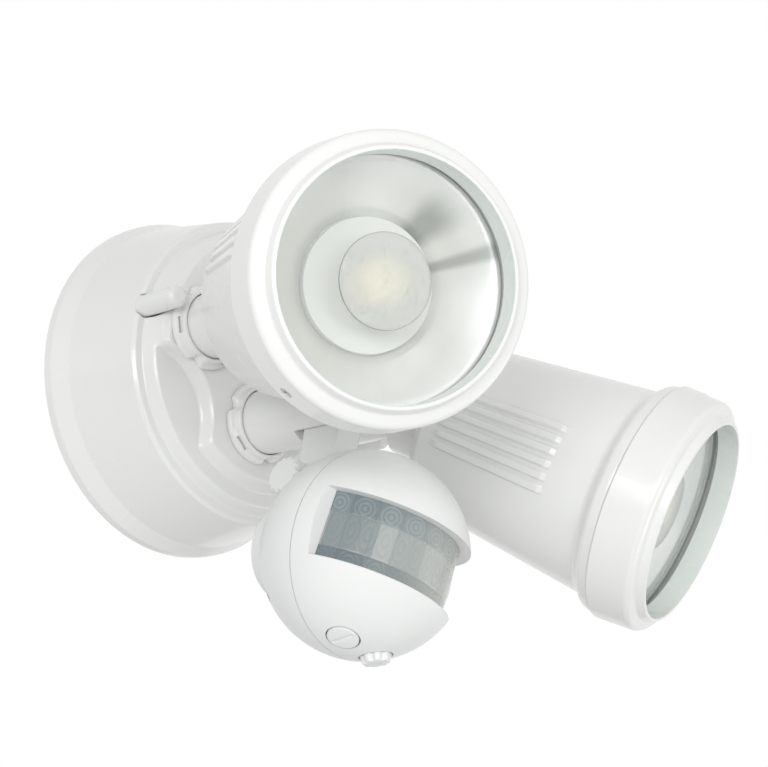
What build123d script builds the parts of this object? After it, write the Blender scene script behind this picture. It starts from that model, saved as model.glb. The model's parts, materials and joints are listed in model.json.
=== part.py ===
from build123d import *
import os
from math import atan2, cos, degrees, radians, sin, sqrt

# Twin-lamp security light with a motion sensor, in millimetres and degrees.
# The wall is the plane XZ, the light stands out along -Y and +Z is up.
# The origin is the centre of the round base, on the wall.

# ---- Round base -------------------------------------------------------------
rim_radius = 70.0          # where the base meets the wall
rim_lift = 0.5             # the seal holds the rim off the wall by this much
rim_bead = 3.0             # straight bead at the rim
flare_radius = 66.6        # foot of the tapered wall
flare_height = 8.0
shoulder_radius = 61.5     # top of the tapered wall
shoulder_height = 43.2
step_height = 44.4         # flat ledge round the raised face
face_foot_radius = 56.5
pocket_floor = 46.7        # floor of the three scalloped pockets
face_radius = 53.6         # raised face
face_height = 54.4
base_wall = 3.2
edge_round = 1.6
crest_round = 1.5
side_pocket_radius = 27.0
side_pocket_reach = 63.5   # from the base centre to a side pocket's centre
side_pocket_angle = 43.0   # below the horizontal
top_pocket_radius = 48.0
top_pocket_reach = 72.0
pocket_draft = 1.6         # how far a pocket's wall leans over its depth

# ---- Ports for the three arms -----------------------------------------------
lamp_port_x = 37.1
lamp_port_z = -3.2
sensor_port_z = -25.1
spigot_radius = 10.0
spigot_length = 11.0
bore_play = 0.08           # running fit of a shaft in its bore
seat_gap = 0.25            # gap under a part that turns on its seat
side_gap = 0.3             # gap beside a part that swings

# ---- Arms, forks and lock rings -----------------------------------------------
arm_radius = 12.5
lamp_pivot = 90.9          # from the wall to a lamp's hinge
sensor_fork_pivot = 97.0   # from the wall to the sensor arm's hinge
tongue_thickness = 11.0
tongue_radius = 9.5
fork_depth = 13.2          # from a hinge to the floor of its fork
wire_bore_radius = 5.0
hinge_bolt_radius = 2.5
bolt_head_radius = 4.0
bolt_head_height = 4.0
nut_height = 4.0
spot_face = 11.0           # from the arm's centre to the face under a bolt head
spot_radius = 5.0
nut_radius = 4.6
socket_radius = 2.0
socket_depth = 2.2
ring_height = 5.2
ring_radius = 16.2
ring_flange = 2.6
ring_collar_radius = 14.2
ring_lobes = 3
ring_notch_radius = 3.2
ring_slot_length = 6.0
ring_slot_width = 0.9
ring_slot_depth = 1.6

# ---- Fixings and parts inside the base --------------------------------------
stud_x = 58.3
stud_z = -3.4
stud_radius = 2.0
thread_play = 0.05
stud_hole_radius = 2.3
column_radius = 5.0
cap_nut_radius = 4.2
cap_nut_height = 21.0
cap_nut_dome = 3.4
cap_nut_seat = 43.0
cap_nut_recess = 5.2
stud_reach = 54.0
bracket_thickness = 2.0
bracket_margin = 2.7       # strap beyond the axis of a stud
bracket_width = 24.0
bracket_slot_spacing = 84.0
bracket_slot_length = 9.0
bracket_slot_width = 5.0
bracket_flange_radius = 27.0
cable_hole_radius = 9.0
grommet_bore = 4.5
grommet_rim = 2.0
grommet_length = 7.0
seal_inner = 65.0
seal_outer = 68.2
seal_play = 0.1
seal_depth = 2.0
driver_length, driver_width, driver_depth = 62.0, 26.0, 21.0
driver_z = 27.0
driver_foot = 2.0
terminal_length, terminal_width, terminal_depth = 34.0, 14.0, 12.0
terminal_z = 2.5
terminal_poles = 3
terminal_screw_radius = 2.2

# ---- Lamps ------------------------------------------------------------------
lamp_swing = {-1: 46.6, 1: 51.3}     # from straight down, outwards, seen from the front
lamp_tilt = {-1: 28.3, 1: 31.1}      # between the beam and the wall's normal
lamp_clocking = 38.0       # the lamp's ribs and set screws, turned against the hinge
lamp_reach = 125.2         # from the hinge to the front of the lip
lip_radius = 36.7          # mouth
lip_front_radius = 37.9
lip_foot_radius = 39.1
lip_foot = 2.8
bezel_shoulder_radius = 43.4
bezel_shoulder = 3.9
bezel_round = 2.2
bezel_radius = 44.6
bezel_length = 19.1
flange_radius = 43.6
flange_end = 20.6
throat_radius = 38.7       # end of the hollow flare
throat = 33.5
throat_round = 12.0
body_rear_radius = 33.0
body_rear = 27.2           # from the hinge forward to the body's rear edge
rear_round = 4.0
neck_radius = 26.2
neck = 15.2
neck_end_radius = 24.6
neck_end_round = 5.0
neck_round = 6.0
back_face = 5.5            # from the hinge forward to the lamp's back
lamp_wall = 2.6
glass_front = 8.0          # everything inside is measured back from the lip
glass_radius = 41.0
glass_thickness = 2.5
diffuser_radius = 14.5
diffuser_thickness = 1.0
seal_ring_thickness = 1.2
seal_ring_inner = 38.0
spigot_outer = 41.2
skirt_play = 0.3
reflector_rim_radius = 36.0
reflector_top = 12.2
reflector_throat_radius = 21.0
reflector_bottom = 28.0
reflector_wall = 1.0
heat_plate_thickness = 3.0
heat_plate_radius = 36.2
led_board = 24.0
led_board_thickness = 1.2
led_disc_radius = 7.0
led_disc_height = 0.8
holder_height = 2.2
holder_bore = 9.0
rib_count = 6
rib_pitch = 7.0
rib_width = 1.9
rib_height = 1.0
rib_front = 44.0
rib_back = 33.2            # from the hinge forward
rib_slope = 2.0
set_screw_radius = 1.9
set_screw_distance = 13.6
set_screw_angle = 82.0     # from the middle of a group of ribs
set_screw_socket = 1.2

# ---- Sensor -----------------------------------------------------------------
globe_radius = 35.4
hinge_stand = 2.83         # from the globe's surface out to its hinge
hinge_angle = 40.44        # of the hinge, above the globe's centre
sensor_tilt = 7.4          # the window looks this much below the horizontal
globe_wall = 2.2
shell_seam = 2.0           # in front of the globe's centre
seam_groove = 0.35
window_back = 9.2
window_top = 10.1
window_bottom = -13.0
lens_inset = 5.4           # from the globe's surface in to the lens
lens_thickness = 1.2
lens_play = 0.15
link_hinge_y = -100.4      # lower end of the link, where the sensor tilts
link_hinge_z = -62.8
ear_thickness = 6.0
ear_radius = 8.0
notch_radius = 9.0
rear_disc_radius = 18.0
rear_disc_proud = 3.4
rear_disc_round = 1.5
knob_radius = 7.6
knob_height = 8.5
knob_flutes = 10
knob_flute_radius = 1.3
board_radius = 22.5
board_thickness = 1.6
board_place = -1.8
board_post_radius = 3.0
element_radius = 4.6
element_height = 4.4
dial_lean = 19.6           # in front of straight down
dial_splay = 13.5          # to each side
dial_radius = 5.4
dial_play = 0.35
dial_depth = 4.6
dial_low = 0.4             # how far each dial stands out of the globe
dial_high = 3.0
dial_scallops = 12
dial_scallop_radius = 0.7
dial_slot_width = 1.2
dial_slot_depth = 0.9
shell_screw_x = 18.0
shell_screw_y = -22.0
shell_screw_radius = 1.5
shell_screw_head = 2.8

# ---- Sizes that follow from the ones above ----------------------------------
seat_height = face_height + seat_gap
cavity_height = step_height - base_wall
fork_gap = tongue_thickness / 2 + side_gap
hinge_bore_radius = hinge_bolt_radius + bore_play
ear_outer = fork_gap + ear_thickness
glass_back = glass_front + glass_thickness
seal_back = glass_back + seal_ring_thickness
plate_front = reflector_bottom + seat_gap
plate_back = plate_front + heat_plate_thickness
board_front = plate_front - led_board_thickness

lens_radius = globe_radius - lens_inset
globe_y = link_hinge_y - (globe_radius + hinge_stand) * cos(radians(hinge_angle))
globe_z = link_hinge_z - (globe_radius + hinge_stand) * sin(radians(hinge_angle))
bracket_length = 2 * (stud_x + bracket_margin)

lamp_sides = {"lamp_1": -1, "lamp_2": 1}
dial_proud = {-1: dial_low, 1: dial_high}
outward = Vector(0, -1, 0)
base_axis = Axis((0, 0, 0), (0, -1, 0))
section = Plane(origin=(0, 0, 0), x_dir=(1, 0, 0), z_dir=(0, 0, -1))


def front_plane(height):
    """Plane that faces away from the wall, at a height above it: x is +X and y is +Z."""
    return Plane(origin=(0, -height, 0), x_dir=(1, 0, 0), z_dir=(0, -1, 0))


def polar(reach, angle):
    return (reach * cos(radians(angle)), reach * sin(radians(angle)))


def save(part, name):
    part.label = name
    export_step(part, f"parts/{name}.step")


def place(builder, plane, name):
    """Write a piece that was drawn about its own axis, moved to where its plane stands."""
    save(plane.location * builder.part, name)


def back(distance):
    """Height above a lamp's hinge of a point this far behind the front of its lip."""
    return lamp_reach - distance


os.makedirs("parts", exist_ok=True)

# ---- Base housing: a cast cup with a raised three-lobed face ----------------
with BuildPart() as cavity:
    with BuildSketch(section):
        with BuildLine():
            Polyline(
                (0, 0),
                (flare_radius - base_wall, 0),
                (flare_radius - base_wall, flare_height),
                (shoulder_radius - base_wall, cavity_height),
                (0, cavity_height),
                close=True,
            )
        make_face()
    revolve(axis=base_axis)
    with BuildSketch(front_plane(bracket_thickness)):
        with Locations((-stud_x, stud_z), (stud_x, stud_z)):
            Circle(column_radius)
    extrude(amount=cavity_height, mode=Mode.SUBTRACT)

with BuildPart() as base_housing:
    with BuildSketch(section) as outline:
        with BuildLine():
            bead = Polyline((0, rim_lift), (rim_radius, rim_lift), (rim_radius, rim_bead))
            flare = SagittaArc(bead @ 1, (flare_radius, flare_height), (rim_radius - flare_radius) / 4)
            side = Line(flare @ 1, (shoulder_radius, shoulder_height))
            shoulder = SagittaArc(
                side @ 1, (shoulder_radius - step_height + shoulder_height, step_height),
                (shoulder_height - step_height) / 4,
            )
            Polyline(
                shoulder @ 1,
                (face_foot_radius + base_wall / 4, step_height),
                (face_foot_radius, pocket_floor),
                (face_radius, face_height),
                (0, face_height),
                bead @ 0,
            )
        make_face()
    revolve(axis=base_axis)
    pocket_depth = face_height - pocket_floor
    pocket_lean = degrees(atan2(pocket_draft, pocket_depth))
    side_pockets = [
        polar(side_pocket_reach, 180 + side_pocket_angle),
        polar(side_pocket_reach, -side_pocket_angle),
    ]
    with BuildSketch(front_plane(pocket_floor)):
        with Locations(*side_pockets):
            Circle(side_pocket_radius - pocket_draft)
        with Locations((0, top_pocket_reach)):
            Circle(top_pocket_radius - pocket_draft)
    extrude(amount=pocket_depth + crest_round, taper=-pocket_lean, mode=Mode.SUBTRACT)
    fillet(base_housing.faces().sort_by(Axis.Y)[0].edges(), crest_round)
    add(cavity.part, mode=Mode.SUBTRACT)
    ports = [(-lamp_port_x, lamp_port_z), (lamp_port_x, lamp_port_z), (0, sensor_port_z)]
    with BuildSketch(front_plane(0)):
        with Locations(*ports):
            Circle(spigot_radius + bore_play)
        with Locations((-stud_x, stud_z), (stud_x, stud_z)):
            Circle(stud_hole_radius)
    extrude(amount=face_height + crest_round, mode=Mode.SUBTRACT)
    with BuildSketch(front_plane(cap_nut_seat)):
        with Locations((-stud_x, stud_z), (stud_x, stud_z)):
            Circle(cap_nut_recess)
    extrude(amount=face_height, mode=Mode.SUBTRACT)
    with BuildSketch(front_plane(0)):
        Circle(seal_outer + seal_play)
        Circle(seal_inner - seal_play, mode=Mode.SUBTRACT)
    extrude(amount=rim_lift + seal_depth, mode=Mode.SUBTRACT)
save(base_housing.part, "base_housing")

with BuildPart() as wall_seal:
    with BuildSketch(front_plane(0)):
        Circle(seal_outer)
        Circle(seal_inner, mode=Mode.SUBTRACT)
    extrude(amount=rim_lift + seal_depth)
save(wall_seal.part, "wall_seal")

# ---- Steel strap on the wall, its studs and the cap nuts that hold the base --
with BuildPart() as wall_bracket:
    with BuildSketch(front_plane(0)):
        with Locations((0, stud_z)):
            SlotOverall(bracket_length, bracket_width)
            Circle(bracket_flange_radius)
            Circle(cable_hole_radius, mode=Mode.SUBTRACT)
            with GridLocations(bracket_slot_spacing, 0, 2, 1):
                SlotOverall(bracket_slot_length, bracket_slot_width, mode=Mode.SUBTRACT)
            with GridLocations(2 * stud_x, 0, 2, 1):
                Circle(stud_radius + thread_play, mode=Mode.SUBTRACT)
    extrude(amount=bracket_thickness)
save(wall_bracket.part, "wall_bracket")

with BuildPart() as bracket_studs:
    with BuildSketch(front_plane(0)):
        with Locations((-stud_x, stud_z), (stud_x, stud_z)):
            Circle(stud_radius)
    extrude(amount=stud_reach)
save(bracket_studs.part, "bracket_studs")

with BuildPart() as cap_nuts:
    with BuildSketch(front_plane(cap_nut_seat)):
        with Locations((-stud_x, stud_z), (stud_x, stud_z)):
            Circle(cap_nut_radius)
    extrude(amount=cap_nut_height)
    domes = cap_nuts.edges().filter_by(GeomType.CIRCLE).group_by(Axis.Y)[0]
    fillet(domes, cap_nut_dome)
    with BuildSketch(front_plane(cap_nut_seat)):
        with Locations((-stud_x, stud_z), (stud_x, stud_z)):
            Circle(stud_radius + thread_play)
    extrude(amount=stud_reach + seat_gap - cap_nut_seat, mode=Mode.SUBTRACT)
save(cap_nuts.part, "cap_nuts")

grommet_plane = Plane(origin=(0, 0, stud_z), x_dir=(1, 0, 0), z_dir=(0, -1, 0))
with BuildPart() as cable_grommet:
    Cylinder(cable_hole_radius, bracket_thickness, align=(Align.CENTER, Align.CENTER, Align.MIN))
    with BuildSketch(Plane.XY.offset(bracket_thickness)):
        Circle(cable_hole_radius + grommet_rim)
    extrude(amount=grommet_rim)
    with BuildSketch(Plane.XY.offset(bracket_thickness + grommet_rim)):
        Circle(grommet_bore + grommet_rim)
    extrude(amount=grommet_length - bracket_thickness - grommet_rim)
    Hole(grommet_bore)
place(cable_grommet, grommet_plane, "cable_grommet")

# ---- Driver and terminal block on the inner face of the base ----------------
with BuildPart() as led_driver:
    with BuildSketch(front_plane(cavity_height)):
        with Locations((0, driver_z)):
            RectangleRounded(driver_length, driver_width, driver_foot)
    extrude(amount=-driver_depth)
    with BuildSketch(front_plane(cavity_height)):
        with Locations((0, driver_z)):
            SlotOverall(driver_length + driver_width / 2, driver_width / 2)
            with GridLocations(driver_length + driver_width / 4, 0, 2, 1):
                Circle(stud_hole_radius, mode=Mode.SUBTRACT)
    extrude(amount=-driver_foot)
save(led_driver.part, "led_driver")

with BuildPart() as terminal_block:
    with BuildSketch(front_plane(cavity_height)):
        with Locations((0, terminal_z)):
            Rectangle(terminal_length, terminal_width)
    extrude(amount=-terminal_depth)
    with BuildSketch(front_plane(cavity_height - terminal_depth)):
        with Locations((0, terminal_z)):
            with GridLocations(terminal_length / terminal_poles, 0, terminal_poles, 1):
                Circle(terminal_screw_radius + bore_play)
    extrude(amount=terminal_depth / 2, mode=Mode.SUBTRACT)
save(terminal_block.part, "terminal_block")

with BuildPart() as terminal_screws:
    with BuildSketch(front_plane(cavity_height - terminal_depth / 2)):
        with Locations((0, terminal_z)):
            with GridLocations(terminal_length / terminal_poles, 0, terminal_poles, 1):
                Circle(terminal_screw_radius)
    extrude(amount=-terminal_depth / 3)
save(terminal_screws.part, "terminal_screws")


# ---- Arms, lock rings and hinge bolts ---------------------------------------
def build_arm(name, plane, pivot):
    """Tubular arm whose spigot turns in the base; its round end is slotted as a fork.

    The arm stands along z of its plane, and x of its plane is the hinge."""
    with BuildPart() as arm:
        with BuildSketch(Plane.XY.offset(seat_height)):
            Circle(arm_radius)
        extrude(amount=pivot + arm_radius - seat_height)
        with BuildSketch(Plane.YZ):
            with Locations((0, (seat_height + pivot) / 2)):
                Rectangle(2 * arm_radius, pivot - seat_height)
            with Locations((0, pivot)):
                Circle(arm_radius)
        extrude(amount=arm_radius, both=True, mode=Mode.INTERSECT)
        with BuildSketch(Plane.XY.offset(seat_height - spigot_length)):
            Circle(spigot_radius)
        extrude(amount=spigot_length)
        with BuildSketch(Plane.XY.offset(pivot - fork_depth)):
            Rectangle(2 * fork_gap, 2 * arm_radius)
        extrude(amount=fork_depth + arm_radius, mode=Mode.SUBTRACT)
        with BuildSketch(Plane.XY.offset(seat_height - spigot_length)):
            Circle(wire_bore_radius)
        extrude(amount=pivot - fork_depth - seat_height + spigot_length, mode=Mode.SUBTRACT)
        with BuildSketch(Plane.YZ):
            with Locations((0, pivot)):
                Circle(hinge_bore_radius)
        extrude(amount=arm_radius, both=True, mode=Mode.SUBTRACT)
        for side in (-1, 1):
            with BuildSketch(Plane.YZ.offset(side * spot_face)):
                with Locations((0, pivot)):
                    Circle(spot_radius)
            extrude(amount=side * arm_radius, mode=Mode.SUBTRACT)
    place(arm, plane, f"{name}_arm")


def build_lock_ring(name, plane, turn):
    """Three-lobed ring that jams the arm against the base, with a slot in each lobe."""
    with BuildPart() as ring:
        with BuildSketch(Plane.XZ):
            with BuildLine():
                Polyline(
                    (arm_radius + side_gap, seat_height),
                    (ring_radius, seat_height),
                    (ring_radius, seat_height + ring_flange),
                    (ring_collar_radius, seat_height + ring_height),
                    (arm_radius + side_gap, seat_height + ring_height),
                    close=True,
                )
            make_face()
        revolve(axis=Axis.Z)
        with BuildSketch(Plane.XY.offset(seat_height)):
            with PolarLocations(ring_radius + ring_notch_radius / 2, ring_lobes, turn):
                Circle(ring_notch_radius)
        extrude(amount=ring_height, mode=Mode.SUBTRACT)
        with BuildSketch(Plane.XY.offset(seat_height + ring_height)):
            with PolarLocations(ring_collar_radius, ring_lobes, turn + 180 / ring_lobes):
                Rectangle(ring_slot_width, ring_slot_length)
        extrude(amount=-ring_flange - ring_slot_depth, mode=Mode.SUBTRACT)
    place(ring, plane, f"{name}_lock_ring")


def build_hinge_bolt(name, plane, pivot):
    """Socket-head bolt through a fork, and its hexagon nut."""
    with BuildPart() as bolt:
        with BuildSketch(Plane.YZ.offset(-spot_face - nut_height)):
            with Locations((0, pivot)):
                Circle(hinge_bolt_radius)
        extrude(amount=2 * spot_face + nut_height)
        with BuildSketch(Plane.YZ.offset(spot_face)):
            with Locations((0, pivot)):
                Circle(bolt_head_radius)
        extrude(amount=bolt_head_height)
        with BuildSketch(Plane.YZ.offset(spot_face + bolt_head_height)):
            with Locations((0, pivot)):
                RegularPolygon(socket_radius, 6)
        extrude(amount=-socket_depth, mode=Mode.SUBTRACT)
    place(bolt, plane, f"{name}_bolt")
    with BuildPart() as nut:
        with BuildSketch(Plane.YZ.offset(-spot_face)):
            with Locations((0, pivot)):
                RegularPolygon(nut_radius, 6)
                Circle(hinge_bolt_radius + thread_play, mode=Mode.SUBTRACT)
        extrude(amount=-nut_height)
    place(nut, plane, f"{name}_nut")


# ---- Lamps, drawn with the hinge at the origin and the beam along +Z --------
def build_lamp_housing(name, plane, clocking):
    """Finned can with a slotted round back that closes over the arm's fork."""
    with BuildPart() as housing:
        with BuildSketch(Plane.XZ):
            with BuildLine():
                rear = FilletPolyline(
                    (0, back_face),
                    (neck_end_radius, back_face),
                    (neck_radius, neck),
                    (body_rear_radius, body_rear),
                    (throat_radius, back(throat)),
                    (flange_radius, back(flange_end)),
                    (flange_radius, back(bezel_length)),
                    radius=[neck_end_round, neck_round, rear_round, throat_round, edge_round / 4],
                )
                Polyline(
                    rear @ 1,
                    (spigot_outer, back(bezel_length)),
                    (spigot_outer, back(seal_back)),
                    (0, back(seal_back)),
                    rear @ 0,
                )
            make_face()
        revolve(axis=Axis.Z)
        with BuildSketch(Plane.XZ):
            with BuildLine():
                Polyline(
                    (0, back(seal_back)),
                    (seal_ring_inner + seam_groove, back(seal_back)),
                    (seal_ring_inner + seam_groove, back(flange_end + bezel_shoulder)),
                    (heat_plate_radius + side_gap, back(plate_front - side_gap)),
                    (heat_plate_radius + side_gap, back(plate_back)),
                    (heat_plate_radius - lamp_wall, back(plate_back)),
                    (body_rear_radius - lamp_wall, body_rear + lamp_wall),
                    (neck_radius - lamp_wall, neck + 2 * lamp_wall),
                    (0, neck + 2 * lamp_wall),
                    close=True,
                )
            make_face()
        revolve(axis=Axis.Z, mode=Mode.SUBTRACT)
        with BuildSketch(Plane.YZ):
            Circle(arm_radius + 2 * side_gap)
        extrude(amount=arm_radius + side_gap, both=True, mode=Mode.SUBTRACT)
        with BuildSketch(Plane.YZ):
            Circle(tongue_radius)
            with Locations((0, arm_radius / 2 + lamp_wall)):
                Rectangle(2 * tongue_radius, arm_radius + 2 * lamp_wall)
        extrude(amount=tongue_thickness / 2, both=True)
        with BuildSketch(Plane.YZ):
            Circle(hinge_bore_radius)
        extrude(amount=tongue_thickness, both=True, mode=Mode.SUBTRACT)
        cone_lean = (throat_radius - body_rear_radius) / (back(throat) - body_rear)
        front_radius = throat_radius - cone_lean * (rib_front - throat)
        back_radius = body_rear_radius + cone_lean * (rib_back - body_rear)
        for group in (0, 180):
            for rib in range(rib_count):
                turn = clocking + group + (rib - (rib_count - 1) / 2) * rib_pitch
                with BuildSketch(Plane.XZ.rotated((0, 0, turn))):
                    with BuildLine():
                        Polyline(
                            (front_radius - rib_height, back(rib_front)),
                            (front_radius, back(rib_front)),
                            (front_radius + rib_height - cone_lean * rib_slope, back(rib_front + rib_slope)),
                            (back_radius + rib_height + cone_lean * rib_slope, rib_back + rib_slope),
                            (back_radius, rib_back),
                            (back_radius - rib_height, rib_back),
                            close=True,
                        )
                    make_face()
                extrude(amount=rib_width / 2, both=True)
    place(housing, plane, f"{name}_housing")


def build_bezel(name, plane, clocking):
    """Front ring that holds the glass, with two set screws through its skirt."""
    skirt_radius = spigot_outer + skirt_play
    with BuildPart() as bezel:
        with BuildSketch(Plane.XZ):
            with BuildLine():
                face = FilletPolyline(
                    (lip_radius, back(0)),
                    (lip_front_radius, back(0)),
                    (lip_foot_radius, back(lip_foot)),
                    (bezel_shoulder_radius, back(bezel_shoulder)),
                    (bezel_radius, back(bezel_length)),
                    (skirt_radius, back(bezel_length)),
                    radius=[edge_round / 4, edge_round / 2, bezel_round, edge_round / 4],
                )
                Polyline(
                    face @ 1,
                    (skirt_radius, back(glass_front)),
                    (lip_radius, back(glass_front)),
                    face @ 0,
                )
            make_face()
        revolve(axis=Axis.Z)
        for turn in (clocking, clocking + 180):
            with BuildSketch(Plane.YZ.rotated((0, 0, turn))):
                with Locations((0, back(set_screw_distance))):
                    Circle(set_screw_radius + thread_play)
            extrude(amount=bezel_radius, mode=Mode.SUBTRACT)
    place(bezel, plane, f"{name}_bezel")

    with BuildPart() as set_screws:
        for turn in (clocking, clocking + 180):
            with BuildSketch(Plane.YZ.rotated((0, 0, turn)).offset(spigot_outer + thread_play)):
                with Locations((0, back(set_screw_distance))):
                    Circle(set_screw_radius)
            extrude(amount=bezel_shoulder_radius - spigot_outer - thread_play)
            with BuildSketch(Plane.YZ.rotated((0, 0, turn)).offset(bezel_shoulder_radius)):
                with Locations((0, back(set_screw_distance))):
                    RegularPolygon(set_screw_radius / 2, 6)
            extrude(amount=-set_screw_socket, mode=Mode.SUBTRACT)
    place(set_screws, plane, f"{name}_set_screws")


def build_optics(name, plane):
    """Glass, frosted disc, seal, reflector, light source and the plate that cools it."""
    with BuildPart() as glass:
        with BuildSketch(Plane.XY.offset(back(glass_front))):
            Circle(glass_radius)
        extrude(amount=-glass_thickness)
    place(glass, plane, f"{name}_glass")

    with BuildPart() as diffuser:
        with BuildSketch(Plane.XY.offset(back(glass_back))):
            Circle(diffuser_radius)
        extrude(amount=-diffuser_thickness)
    place(diffuser, plane, f"{name}_diffuser")

    with BuildPart() as seal_ring:
        with BuildSketch(Plane.XY.offset(back(glass_back))):
            Circle(glass_radius)
            Circle(seal_ring_inner, mode=Mode.SUBTRACT)
        extrude(amount=-seal_ring_thickness)
    place(seal_ring, plane, f"{name}_seal")

    with BuildPart() as reflector:
        with BuildSketch(Plane.XZ):
            with BuildLine():
                Polyline(
                    (reflector_rim_radius, back(reflector_top)),
                    (seal_ring_inner, back(reflector_top)),
                    (seal_ring_inner, back(reflector_top + reflector_wall)),
                    (reflector_rim_radius + reflector_wall / 2, back(reflector_top + reflector_wall)),
                    (reflector_throat_radius + reflector_wall, back(reflector_bottom)),
                    (reflector_throat_radius, back(reflector_bottom)),
                    close=True,
                )
            make_face()
        revolve(axis=Axis.Z)
    place(reflector, plane, f"{name}_reflector")

    with BuildPart() as heat_plate:
        with BuildSketch(Plane.XY.offset(back(plate_front))):
            Circle(heat_plate_radius)
        extrude(amount=-heat_plate_thickness)
    place(heat_plate, plane, f"{name}_heat_plate")

    with BuildPart() as led_module:
        with BuildSketch(Plane.XY.offset(back(board_front))):
            Rectangle(led_board, led_board)
        extrude(amount=-led_board_thickness)
        with BuildSketch(Plane.XY.offset(back(board_front))):
            Circle(led_disc_radius)
        extrude(amount=led_disc_height)
    place(led_module, plane, f"{name}_led")

    with BuildPart() as holder:
        with BuildSketch(Plane.XY.offset(back(plate_front))):
            Circle(reflector_throat_radius - side_gap)
        extrude(amount=holder_height + led_board_thickness)
        with BuildSketch(Plane.XY.offset(back(plate_front))):
            Rectangle(led_board + side_gap, led_board + side_gap)
        extrude(amount=led_board_thickness + thread_play, mode=Mode.SUBTRACT)
        with BuildSketch(Plane.XY.offset(back(plate_front))):
            Circle(holder_bore)
        extrude(amount=led_board_thickness + holder_height, mode=Mode.SUBTRACT)
    place(holder, plane, f"{name}_led_holder")


for lamp, side in lamp_sides.items():
    swing, tilt = radians(lamp_swing[side]), radians(lamp_tilt[side])
    hinge = Vector(cos(swing), 0, side * sin(swing))
    beam = Vector(side * sin(swing) * sin(tilt), -cos(tilt), -cos(swing) * sin(tilt))
    arm_plane = Plane(origin=(side * lamp_port_x, 0, lamp_port_z), x_dir=hinge, z_dir=outward)
    lamp_plane = Plane(origin=(side * lamp_port_x, -lamp_pivot, lamp_port_z), x_dir=hinge, z_dir=beam)
    rib_turn = -side * lamp_clocking
    build_arm(lamp, arm_plane, lamp_pivot)
    build_lock_ring(lamp, arm_plane, side * lamp_swing[side])
    build_hinge_bolt(lamp, arm_plane, lamp_pivot)
    build_lamp_housing(lamp, lamp_plane, rib_turn)
    build_bezel(lamp, lamp_plane, rib_turn - side * set_screw_angle)
    build_optics(lamp, lamp_plane)

# ---- Sensor arm and the link between its two hinges -------------------------
sensor_arm_plane = Plane(origin=(0, 0, sensor_port_z), x_dir=(1, 0, 0), z_dir=(0, -1, 0))
build_arm("sensor", sensor_arm_plane, sensor_fork_pivot)
build_lock_ring("sensor", sensor_arm_plane, 180)
build_hinge_bolt("sensor_arm", sensor_arm_plane, sensor_fork_pivot)

upper_hinge = (-sensor_fork_pivot, sensor_port_z)
lower_hinge = (link_hinge_y, link_hinge_z)
with BuildPart() as sensor_link:
    with BuildSketch(Plane.YZ):
        with Locations(upper_hinge):
            Circle(tongue_radius)
        with Locations(lower_hinge):
            Circle(ear_radius)
        make_hull()
        with Locations(upper_hinge, lower_hinge):
            Circle(hinge_bore_radius, mode=Mode.SUBTRACT)
    extrude(amount=tongue_thickness / 2, both=True)
save(sensor_link.part, "sensor_link")

# ---- Sensor globe, drawn about its centre with the window along +Z ----------
lean = radians(sensor_tilt)
sensor_plane = Plane(origin=(0, globe_y, globe_z), x_dir=(1, 0, 0), z_dir=(0, -cos(lean), -sin(lean)))
hinge_rise = (link_hinge_z - globe_z) * cos(lean) - (link_hinge_y - globe_y) * sin(lean)
hinge_run = -(link_hinge_y - globe_y) * cos(lean) - (link_hinge_z - globe_z) * sin(lean)
globe_hinge = (hinge_rise, hinge_run)
inner_radius = globe_radius - globe_wall
rear_seam = shell_seam - seam_groove
rear_face = -globe_radius - rear_disc_proud
post_end = -sqrt(inner_radius**2 - (shell_screw_x**2 + shell_screw_y**2))
screw_places = [(-shell_screw_x, shell_screw_y), (shell_screw_x, shell_screw_y)]
board_posts = [(-board_radius / 2, board_radius / 2), (board_radius / 2, board_radius / 2)]
board_back = board_place - board_thickness

with BuildPart() as rear_hollow:
    Sphere(inner_radius)
    with BuildSketch(Plane.YZ):
        with Locations(globe_hinge):
            Circle(notch_radius + globe_wall)
    extrude(amount=fork_gap + globe_wall, both=True, mode=Mode.SUBTRACT)
    with BuildSketch(Plane.YZ.offset(globe_wall - ear_outer)):
        with Locations(globe_hinge):
            Circle(knob_radius + side_gap + globe_wall)
    extrude(amount=-globe_radius, mode=Mode.SUBTRACT)
    with BuildSketch(Plane.XY.offset(-globe_radius)):
        with Locations(*screw_places):
            Circle(shell_screw_head + globe_wall)
    extrude(amount=globe_radius + rear_seam, mode=Mode.SUBTRACT)
    with BuildSketch(Plane.XY.offset(-globe_radius)):
        with Locations(*board_posts):
            Circle(board_post_radius)
    extrude(amount=globe_radius + board_back, mode=Mode.SUBTRACT)

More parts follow.
